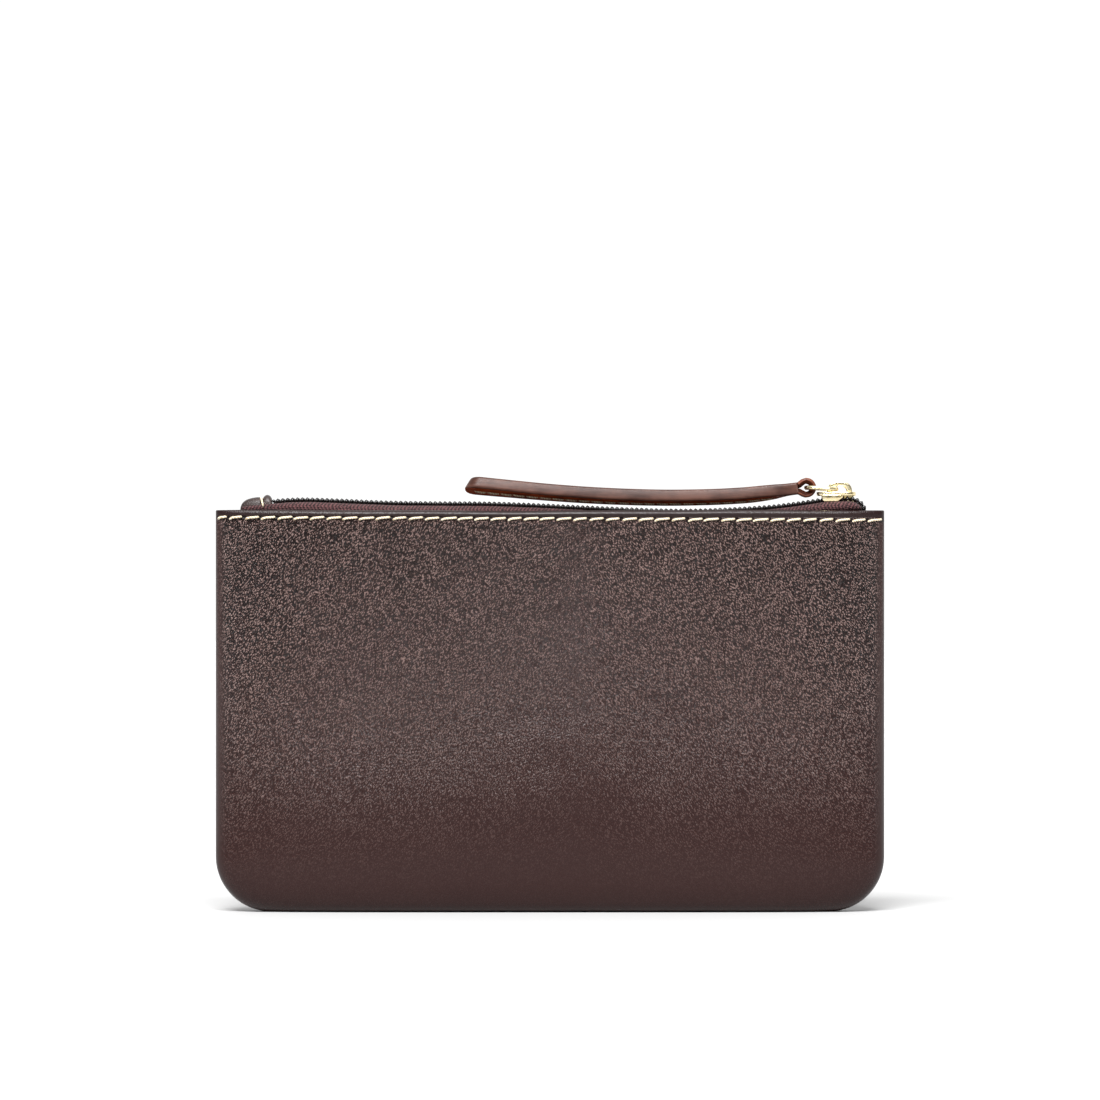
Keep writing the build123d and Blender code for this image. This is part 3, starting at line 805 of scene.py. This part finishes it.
def zip_tape(side, name, node):
    """One woven tape: a leg inside the hem, a soft bend, and a flat part under the coil."""
    section = [
        (0.50, 0.0), (1.5, 0.0), (2.6, 0.0), (3.4, -0.03), (4.1, -0.16), (4.7, -0.48),
        (5.15, -1.0), (5.42, -1.7), (5.5, -2.5),
    ]
    leg = 8
    stations = np.linspace(0.8, CHAIN_LENGTH - 0.3, 300)
    points, flat = [], []
    for at in stations:
        centre, _, normal = chain_frame(at)
        gap = opening(centre[0])
        ripple = 0.07 * math.sin(at / 2.3 + side) + 0.05 * math.sin(at / 0.9)
        last = None
        travelled = 0.0
        for k in range(len(section) + leg):
            if k < len(section):
                y, drop = section[k]
                share = k / (len(section) - 1)
                p = centre + normal * (drop * (1 - share) - TAPE_DROP) + np.array([0, 0, drop * share])
                p[1] = y + gap * max(0.0, 1 - share * 1.4)
                p[2] += ripple * share
            else:
                t = (k - len(section) + 1) / leg
                bottom = np.array([p_end[0], 5.57, min(92.5, p_end[2] - 1)])
                p = p_end + (bottom - p_end) * t
            if k == len(section) - 1:
                p_end = p.copy()
            travelled += 0.0 if last is None else float(np.linalg.norm(p - last))
            last = p
            free = float(smooth_step(101.6, 103.0, p[2]))
            points.append((p[0], side * p[1] * (squeeze(p[0]) * (1 - free) + free), p[2]))
            flat.append((at, travelled, 0.0))
    faces = grid_faces(len(stations), len(section) + leg)
    if side < 0:
        faces = flip_object_faces(faces)
    obj = make_object(name, points, faces, MATERIALS["tape"], "pouch", [node])
    set_flat(obj, flat)
    thicken(obj, TAPE, 0.0)
    return obj


def zip_coil(side, name, node):
    """One coil of nylon wound along its tape, its heads thickened where they catch the other coil."""
    per_turn = 14
    turns = int((CHAIN_LENGTH - COIL_START - 2.0) / COIL_PITCH)
    line, widths = [], []
    for k in range(turns * per_turn + 1):
        angle = 2 * math.pi * k / per_turn
        at = COIL_START + COIL_PITCH * (k / per_turn) + (0.0 if side < 0 else COIL_PITCH / 2)
        centre, _, normal = chain_frame(at)
        head = (1 - math.cos(angle)) / 2
        y = COIL_CENTRE_Y + COIL_HALF_WIDTH * math.cos(angle) + opening(centre[0])
        p = centre + normal * (COIL_HALF_HEIGHT * math.sin(angle) * (1.0 + 0.12 * head))
        line.append((p[0], side * y, p[2] - side * y * CHAIN_TILT))
        widths.append(COIL_WIRE_RADIUS * (1 + 0.12 * head**3 + 0.30 * (1 - head) ** 3))
    points, faces = tube(line, widths, 7)
    return make_object(name, points, faces, MATERIALS["nylon"], "pouch", [node])


def coil_cord(side, name, node):
    """The filler cord that runs inside a coil."""
    line = []
    for at in np.arange(COIL_START, CHAIN_LENGTH - 1.5, 0.5):
        centre, _, _ = chain_frame(at)
        y = side * (COIL_CENTRE_Y + 0.15 + opening(centre[0]))
        line.append((centre[0], y, centre[2] - 0.06 - y * CHAIN_TILT))
    points, faces = tube(line, 0.17, 6)
    return make_object(name, points, faces, MATERIALS["cord"], "pouch", [node])


def coil_sewing(side, name):
    """The thread that sews a coil to its tape, rising over each winding."""
    line = []
    for at in np.arange(COIL_START + 0.6, CHAIN_LENGTH - 2.5, COIL_PITCH / 6):
        centre, _, normal = chain_frame(at)
        phase = 2 * math.pi * (at - COIL_START) / COIL_PITCH
        lift = COIL_HALF_HEIGHT + COIL_WIRE_RADIUS - 0.24 + 0.30 * math.cos(phase)
        p = centre + normal * lift
        y = side * (COIL_CENTRE_Y + 0.55 + opening(centre[0]))
        line.append((p[0], y, p[2] - y * CHAIN_TILT))
    points, faces = tube(line, 0.10, 6)
    return make_object(name, points, faces, MATERIALS["cord"], "pouch")


def top_stops():
    """The two metal stops crimped round the hidden ends of the coils."""
    parts = []
    at = CHAIN_LENGTH - 3.6
    centre, tangent, normal = chain_frame(at)
    for side in (-1, 1):
        y_middle = side * (COIL_CENTRE_Y + opening(centre[0]))
        rings = []
        for step in np.linspace(-1.0, 1.0, 7):
            bulge = 1 - 0.14 * abs(step) ** 4
            for k in range(20):
                angle = 2 * math.pi * k / 20
                across = math.copysign(abs(math.cos(angle)) ** 0.55, math.cos(angle)) * 1.75 * bulge
                thick = math.copysign(abs(math.sin(angle)) ** 0.55, math.sin(angle)) * 0.85 * bulge
                p = centre + tangent * step + normal * thick
                rings.append((p[0], y_middle + across, p[2]))
        faces = grid_faces(7, 20, closed=True)
        faces.append(tuple(reversed(range(20))))
        faces.append(tuple(6 * 20 + k for k in range(20)))
        parts.append((rings, faces))
    points, faces = merge(parts)
    stops = ["zip_top_stops"]
    return make_object("top_stops", points, faces, MATERIALS["gold"], "pouch", stops)


TAB_CREST = [
    (-78.75, 102.2), (-78.7, 102.9), (-78.3, 103.8), (-77.4, 104.6), (-76.2, 105.05), (-74.9, 105.3),
    (-73.9, 105.35), (-73.45, 105.1), (-73.2, 104.75), (-72.95, 105.2), (-72.6, 105.65), (-72.0, 105.95),
    (-71.3, 105.7), (-70.85, 105.05), (-70.7, 104.2), (-70.65, 103.0),
]
TAB_BASE_Z = 100.9


def end_tab():
    """The leather tab folded round the start of the zip: two lobes drawn in at the stitch between them."""
    crest = curve_through(TAB_CREST, 70)
    width = 44
    points = []
    for x, top in crest:
        rise = (top - TAB_BASE_Z) / (105.3 - TAB_BASE_Z)
        pinch = math.exp(-(((x + 73.2) / 0.35) ** 2))
        half = (4.55 + 0.75 * min(1.0, rise) - 0.35 * pinch) * squeeze(x) * 1.02
        for k in range(width):
            angle = math.pi * k / (width - 1)
            y = -half * math.copysign(abs(math.cos(angle)) ** 0.55, math.cos(angle))
            z = TAB_BASE_Z + (top - TAB_BASE_Z) * math.sin(angle) ** 0.42
            points.append((x, y, z))
    faces = flip_object_faces(grid_faces(len(crest), width))
    obj = make_object("end_tab", points, faces, MATERIALS["tab"], "pouch", ["zip_end_tab"])
    return thicken(obj, 0.7)


def end_tab_stitch():
    """The cream thread that holds the tab: slanting stitches on both faces and one over the top."""
    parts = []
    for side in (-1, 1):
        line = [
            (-73.5, side * 3.6, 104.7), (-73.45, side * 4.2, 105.15), (-73.3, side * 4.75, 104.95),
            (-73.1, side * 5.15, 104.2), (-72.9, side * 5.3, 103.4), (-72.8, side * 4.7, 102.9),
        ]
        parts.append(stitch_line(line, 0.24))
    for y in (-2.6, 0.0, 2.6):
        line = [
            (-73.3, y - 1.0, 104.3), (-73.25, y - 0.85, 104.85), (-73.2, y, 105.0),
            (-73.15, y + 0.85, 104.85), (-73.1, y + 1.0, 104.3),
        ]
        parts.append(stitch_line(line, 0.24))
    points, faces = merge(parts)
    stitch = ["end_tab_stitch"]
    return make_object("end_tab_thread", points, faces, MATERIALS["cream"], "pouch", stitch)


# ---------------------------------------------------------------- slider and ring


def rounded_prism(outline, low, high, axis="z"):
    """Points and faces of a closed prism; the outline is in XY for axis z and in XZ for axis y."""
    count = len(outline)
    points = []
    for level in (low, high):
        for a, b in outline:
            points.append((a, b, level) if axis == "z" else (a, level, b))
    faces = [tuple(reversed(range(count))), tuple(range(count, 2 * count))]
    faces += [(k, (k + 1) % count, count + (k + 1) % count, count + k) for k in range(count)]
    if axis == "y":
        faces = flip_object_faces(faces)
    return points, faces


def soften(obj, width_mm, segments=3):
    """Rounds an object's sharp edges."""
    bevel = obj.modifiers.new("soft_edges", "BEVEL")
    bevel.width = width_mm * MM
    bevel.segments = segments
    bevel.limit_method = "ANGLE"
    bevel.angle_limit = math.radians(35)
    return obj


def smooth_outline(points):
    """A closed smooth outline through points."""
    ring = list(points) + [points[0]]
    return curve_through(ring, 73)[:-1]


def slider_body():
    """The slider: shaped top and bottom plates, cheeks that hold the coils, and the post between."""
    middle = (SLIDER_LOW.x + SLIDER_HIGH.x) / 2
    left, right = SLIDER_LOW.x, SLIDER_HIGH.x
    top, bottom = SLIDER_HIGH.z, SLIDER_LOW.z
    half_plan = [
        (left, -2.4), (left + 0.5, -3.3), (left + 1.6, -3.65), (middle, -3.85),
        (right - 2.6, -4.05), (right - 1.0, -3.7), (right - 0.25, -2.6), (right, -1.2),
    ]
    outline = smooth_outline(half_plan + [(x, -y) for x, y in reversed(half_plan)])
    parts = [rounded_prism(outline, top - 1.05, top - 0.02)]
    parts.append(rounded_prism(outline, bottom + 0.02, bottom + 1.0))
    for side in (-1, 1):
        cheek = [
            (left + 1.3, top - 0.6), (left + 1.3, 104.5), (left + 1.75, 104.18),
            (left + 5.2, 104.18), (left + 6.6, 105.2), (left + 6.6, top - 0.6),
        ]
        near, far = sorted((side * 3.0, side * 3.98))
        parts.append(rounded_prism(cheek, near, far, "y"))
        foot = [
            (left + 1.3, bottom + 0.5), (left + 6.0, bottom + 0.5),
            (left + 6.0, bottom + 1.1), (left + 1.3, bottom + 1.1),
        ]
        parts.append(rounded_prism(foot, near, far, "y"))
    post = [(74.4, -0.42), (77.3, -0.42), (77.3, 0.42), (74.4, 0.42)]
    parts.append(rounded_prism(post, bottom + 0.5, top - 0.5))
    points, faces = merge(parts)
    obj = make_object("slider", points, faces, MATERIALS["gold"], "slider", ["slider_body"])
    return soften(obj, 0.24)


def slider_crown():
    """The arched bridge on the slider, thicker at its feet."""
    middle = (CROWN_LOW.x + CROWN_HIGH.x) / 2
    half = (CROWN_HIGH.x - CROWN_LOW.x) / 2
    rise = CROWN_HIGH.z - CROWN_LOW.z
    base = CROWN_LOW.z
    outer, inner = [], []
    for angle in np.linspace(0, math.pi, 33):
        c, s = math.cos(angle), math.sin(angle)
        reach = math.copysign(abs(c) ** 0.72, c)
        outer.append((middle - half * reach, base - 0.3 + (rise + 0.3) * s**0.8))
        inner.append((middle - (half - 1.42) * reach, base - 0.3 + (rise - 0.85) * s**0.8))
    width = CROWN_HIGH.y - 0.05
    points, faces = [], []
    for a, b in zip(outer, inner):
        points += [(a[0], -width, a[1]), (a[0], width, a[1]), (b[0], width, b[1]), (b[0], -width, b[1])]
    faces = flip_object_faces(grid_faces(len(outer), 4, closed=True))
    faces += [(0, 1, 2, 3), tuple(4 * (len(outer) - 1) + k for k in (3, 2, 1, 0))]
    crown = ["slider_crown"]
    obj = make_object("slider_bridge", points, faces, MATERIALS["gold"], "slider", crown)
    return soften(obj, 0.28, 4)


def connector_ring():
    """A bent wire ring: a rounded rectangle with its cut ends meeting on the far side."""
    wire = 0.55
    run = STRAP_LOOP - RING_PIVOT
    length = math.hypot(run.x, run.z)
    tilt = math.atan2(run.z, -run.x)
    half, corner = RING_HIGH.y - wire, 2.2
    gap = 0.07
    outline = [(-length * 0.72 + gap, half)]
    centres = [
        (-corner, -half + corner, -math.pi / 2), (-corner, half - corner, 0.0),
        (-length + corner, half - corner, math.pi / 2), (-length + corner, -half + corner, math.pi),
    ]
    for cx, cy, start in centres:
        for angle in np.linspace(start, start + math.pi / 2, 14):
            outline.append((cx + corner * math.cos(angle), -cy - corner * math.sin(angle)))
    outline.append((-length * 0.72 - gap, half))
    line = resample(np.array(outline), 120)
    spots = [(RING_PIVOT.x + x * math.cos(tilt), y, RING_PIVOT.z - x * math.sin(tilt)) for x, y in line]
    radius = np.full(len(spots), wire)
    radius[0] = radius[-1] = wire * 0.86
    points, faces = tube(spots, radius, 20)
    ring = ["connector_ring"]
    return make_object("wire_ring", points, faces, MATERIALS["gold"], "ring", ring)


# ---------------------------------------------------------------- pull strap

STRAP_WIDTH = 6.3
STRAP_HALF = 1.55
STRAP_LOOP = Vector((STRAP_PIVOT.x, 0.0, 107.75))
STRAP_LOOP_OUTER = 2.5
STRAP_LOOP_INNER = 0.98
STRAP_SPLIT = 63.0
END_ROUND = 3.4
STRAP_SAG = [
    (-21.5, 108.55), (-19.0, 108.3), (-10.0, 107.45), (0.0, 106.55), (10.0, 105.85),
    (20.0, 105.4), (30.0, 105.2), (40.0, 105.35), (46.0, 105.6), (51.0, 105.95),
    (56.0, 106.55), (59.0, 107.0), (62.0, 107.45), (65.2, 107.75), (70.0, 107.8),
]
STRAP_ROLL = [
    (-21.5, 20.0), (-10.0, 17.0), (0.0, 15.0), (20.0, 13.0), (40.0, 12.0), (52.0, 12.0),
    (57.0, 8.0), (61.0, 0.5), (70.0, 0.0),
]
SAG_LINE = curve_through(STRAP_SAG, 500)
ROLL_LINE = curve_through(STRAP_ROLL, 500)


def strap_height(x):
    """Height of the middle of the strap's thickness."""
    return np.interp(x, SAG_LINE[:, 0], SAG_LINE[:, 1])


def strap_place(x, y, t):
    """A point of the bowed and rolled strap, from its place along, across and through it."""
    z = strap_height(x)
    step = 0.4
    tilt = math.atan((strap_height(x + step) - strap_height(x - step)) / (2 * step))
    roll = math.radians(np.interp(x, ROLL_LINE[:, 0], ROLL_LINE[:, 1]))
    up = y * -math.sin(roll) + t * math.cos(roll)
    across = y * math.cos(roll) + t * math.sin(roll)
    return (x - up * math.sin(tilt), across, z + up * math.cos(tilt))


def half_ring(width, high, edge, across):
    """Half of the strap's cross-section: the outer face and its two rounded edges, from side to side."""
    corner = [(1 - math.cos(a), math.sin(a)) for a in np.linspace(0, math.pi / 2, 5)]
    left = [(-width + edge * c, high - edge + edge * s) for c, s in corner]
    flat = [(y, high) for y in np.linspace(-width + edge, width - edge, across)[1:-1]]
    right = [(-y, t) for y, t in reversed(left)]
    return left + flat + right


def pull_strap():
    """One strip folded round the ring and glued to itself, its edges burnished to one round band."""
    edge, across = 0.62, 13
    width = STRAP_WIDTH / 2
    profile = half_ring(width, STRAP_HALF, edge, across)
    around = profile + [(-y, -t) for y, t in profile]
    count = len(profile)
    points, faces, marks = [], [], []

    def add_ring(ring):
        start = len(points)
        points.extend(ring)
        return list(range(start, start + len(ring)))

    def skin(a, b, kinds):
        for k in range(len(a)):
            n = (k + 1) % len(a)
            faces.append((a[k], a[n], b[n], b[k]))
            marks.append(kinds[k])

    flat = count - 9
    body = ([0] * 4 + [1] * flat + [0] * 5) + ([0] * 4 + [2] * flat + [0] * 5)
    stations = list(STRAP_LOW.x + END_ROUND * np.linspace(0, 1, 14)[:-1] ** 2)
    stations += list(np.linspace(STRAP_LOW.x + END_ROUND, STRAP_SPLIT, 176))
    previous = None
    for x in stations:
        from_end = x - STRAP_LOW.x
        pull = math.sqrt(max(0.0, 1 - (1 - min(from_end, END_ROUND) / END_ROUND) ** 2))
        narrow = 0.10 + 0.90 * pull
        neck = 1 - 0.05 * float(smooth_step(50, STRAP_SPLIT, x))
        flat_end = 0.66 + 0.34 * math.sqrt(1 - (1 - min(1.0, from_end / 1.5)) ** 2)
        slant = 1 - float(smooth_step(1.0, 6.0, from_end))
        ring = []
        for y, t in around:
            ring.append(strap_place(x + (0.34 * t + 0.42) * slant, y * narrow * neck, t * flat_end))
        ring = add_ring(ring)
        if previous is None:
            faces.append(tuple(ring))
            marks.append(0)
        else:
            skin(ring, previous, body)
        previous = ring
    inner_y = [-y * 0.95 for y in np.linspace(-width, width, 9)[1:-1]]
    tip = add_ring([strap_place(STRAP_SPLIT, y, 0.0) for y in inner_y])
    before = previous[count:] + tip[::-1]
    upper_end = previous[:count] + tip
    strip_kinds = [4] * (flat + 8) + [3] * (len(inner_y) + 1)
    for ring_points in loop_rings(profile, inner_y):
        ring = add_ring(ring_points)
        skin(ring, before, strip_kinds)
        before = ring
    skin(upper_end, before, strip_kinds)
    obj = make_object(
        "leather_pull", points, faces,
        [MATERIALS[kind] for kind in ("edge", "strap_top", "strap_under", "loop_inside_shade", "loop_rim")],
        "strap", ["pull_strap"],
    )
    obj.data.polygons.foreach_set("material_index", marks)
    return obj


def loop_rings(profile, inner_y):
    """Rings of the strip from the split, under the ring wire, round it and back above."""
    rings = []
    steps = 40
    for k in range(1, steps):
        share = k / steps
        path, normal, thick = loop_path(share)
        ring = []
        for y, t in profile:
            ring.append(loop_point(path, normal, -y * 0.95, t, thick))
        for y in reversed(inner_y):
            ring.append(loop_point(path, normal, y, 0.0, thick))
        rings.append(ring)
    return rings


def eye_line():
    """The strip's inner line in XZ: from the split, round the eye and back to the split."""
    start = (STRAP_SPLIT, strap_height(STRAP_SPLIT))
    centre = np.array([STRAP_LOOP.x, STRAP_LOOP.z])
    turn = np.linspace(-0.35, math.pi + 0.35, 15)
    arc = [tuple(centre + STRAP_LOOP_INNER * np.array([math.sin(a), -math.cos(a)])) for a in turn]
    neck = centre - np.array([1.55, 0.16])
    spread = np.array([0.0, 0.14])
    return curve_through([start, tuple(neck - spread)] + arc + [tuple(neck + spread), start], 400)


EYE_LINE = eye_line()


def loop_path(share):
    """A point of the strip's inner line, its outward direction in XZ, and the strip's thickness."""
    line = EYE_LINE
    at = share * (len(line) - 1)
    k = min(int(at), len(line) - 2)
    p = line[k] + (line[k + 1] - line[k]) * (at - k)
    a, b = line[max(0, k - 3)], line[min(len(line) - 1, k + 4)]
    direction = (b - a) / np.linalg.norm(b - a)
    normal = np.array([direction[1], -direction[0]])
    bend = math.sin(math.pi * share)
    thinner = STRAP_HALF - (STRAP_LOOP_OUTER - STRAP_LOOP_INNER)
    thick = STRAP_HALF - thinner * float(smooth_step(0.0, 0.35, bend))
    return p, normal, thick


def loop_point(path, normal, y, t, thick):
    """A point of the loop's cross-section."""
    lift = t / STRAP_HALF * thick
    return (path[0] + normal[0] * lift, y, path[1] + normal[1] * lift)


def strap_stitches():
    """One row of beige stitches down the middle of the strap, on its top and its underside."""
    parts = []
    rng = np.random.default_rng(21)
    for k in range(23):
        x = -17.6 + 3.3 * k + rng.uniform(-0.05, 0.05)
        for face in (1, -1):
            half = 1.32
            base = face * STRAP_HALF
            shape = [
                (-half - 0.1, -0.6), (-half + 0.05, -0.12), (-half * 0.4, 0.04),
                (half * 0.4, 0.05), (half - 0.05, -0.10), (half + 0.1, -0.6),
            ]
            line = [strap_place(x + a, 0.10 * a, base + face * b) for a, b in shape]
            parts.append(stitch_line(line, 0.30))
    points, faces = merge(parts)
    stitching = ["pull_strap_stitching"]
    return make_object("pull_thread", points, faces, MATERIALS["beige"], "strap", stitching)


# ---------------------------------------------------------------- studio

# Strength of the world's light in front of the pouch, behind it and above it; strength of the key light,
# with its spread, height and place to the left in degrees; the camera's distance, height and width of view
ROOM_FRONT = 0.15
ROOM_BACK = 1.06
ROOM_ABOVE = 0.6
KEY_STRENGTH = 8.2
KEY_SPREAD = 32
KEY_HEIGHT = 46
KEY_LEFT = 6
CAMERA_AWAY = 2.0
CAMERA_HEIGHT = 0.0919
CAMERA_SEES = 0.280
SENSOR = 36.0


def studio():
    """A plain floor, soft lights and the camera a little below the pouch's top."""
    bpy.ops.mesh.primitive_plane_add(size=12, location=(0, 0, -0.00005))
    floor = bpy.context.object
    floor.name = "studio_floor"
    floor.data.materials.append(paper_floor())
    world = bpy.data.worlds.new("studio_air")
    bpy.context.scene.world = world
    world.use_nodes = True
    light_room(world.node_tree)
    key_light()
    camera_data = bpy.data.cameras.new("camera")
    camera = bpy.data.objects.new("camera", camera_data)
    bpy.context.scene.collection.objects.link(camera)
    camera.location = (0.0, -CAMERA_AWAY, CAMERA_HEIGHT)
    camera.rotation_euler = (math.pi / 2, 0, 0)
    camera_data.sensor_width = SENSOR
    camera_data.lens = SENSOR * CAMERA_AWAY / CAMERA_SEES
    camera_data.clip_end = 30
    bpy.context.scene.camera = camera
    bpy.context.scene.view_settings.view_transform = "Standard"


def light_room(tree):
    """World light that depends on its direction: white behind and above the pouch, dim in front of it."""
    nodes, links = tree.nodes, tree.links
    direction = nodes.new("ShaderNodeTexCoord").outputs["Generated"]
    split = nodes.new("ShaderNodeSeparateXYZ")
    links.new(direction, split.inputs[0])

    def fade(part, low, high, to_low, to_high):
        made = nodes.new("ShaderNodeMapRange")
        made.interpolation_type = "SMOOTHSTEP"
        ends = {"From Min": low, "From Max": high, "To Min": to_low, "To Max": to_high}
        for name, value in ends.items():
            made.inputs[name].default_value = value
        links.new(split.outputs[part], made.inputs["Value"])
        return made

    behind = fade("Y", -0.15, 0.35, ROOM_FRONT, ROOM_BACK)
    above = fade("Z", 0.70, 0.92, 0.0, ROOM_ABOVE)
    total = nodes.new("ShaderNodeMath")
    total.operation = "ADD"
    links.new(behind.outputs[0], total.inputs[0])
    links.new(above.outputs[0], total.inputs[1])
    background = nodes["Background"]
    background.inputs["Color"].default_value = (1.0, 1.0, 1.0, 1.0)
    links.new(total.outputs[0], background.inputs["Strength"])


def key_light():
    """One very large soft light, high in front and a little to the left."""
    data = bpy.data.lights.new("key_light", "SUN")
    data.energy = KEY_STRENGTH
    data.angle = math.radians(KEY_SPREAD)
    light = bpy.data.objects.new("key_light", data)
    bpy.context.scene.collection.objects.link(light)
    light.rotation_euler = (math.radians(90 - KEY_HEIGHT), 0, math.radians(-KEY_LEFT))


HALVES = ((-1, "front"), (1, "back"))


def both(build, name, node):
    """Builds a piece of the front half and its fellow of the back half."""
    for side, half in HALVES:
        build(side, f"{half}_{name}", f"{half}_{node}")


both(panel, "leather", "panel")
both(lining, "lining_cloth", "lining")
both(hem_stitches, "hem_thread", "hem_stitching")
seam_stitches()
both(zip_tape, "tape", "zip_tape")
both(zip_coil, "coil", "zip_coil")
both(coil_cord, "filler_cord", "coil_cord")
for side, half in HALVES:
    coil_sewing(side, f"{half}_coil_thread")
top_stops()
end_tab()
end_tab_stitch()
slider_body()
slider_crown()
connector_ring()
pull_strap()
strap_stitches()
studio()

bpy.context.view_layer.update()
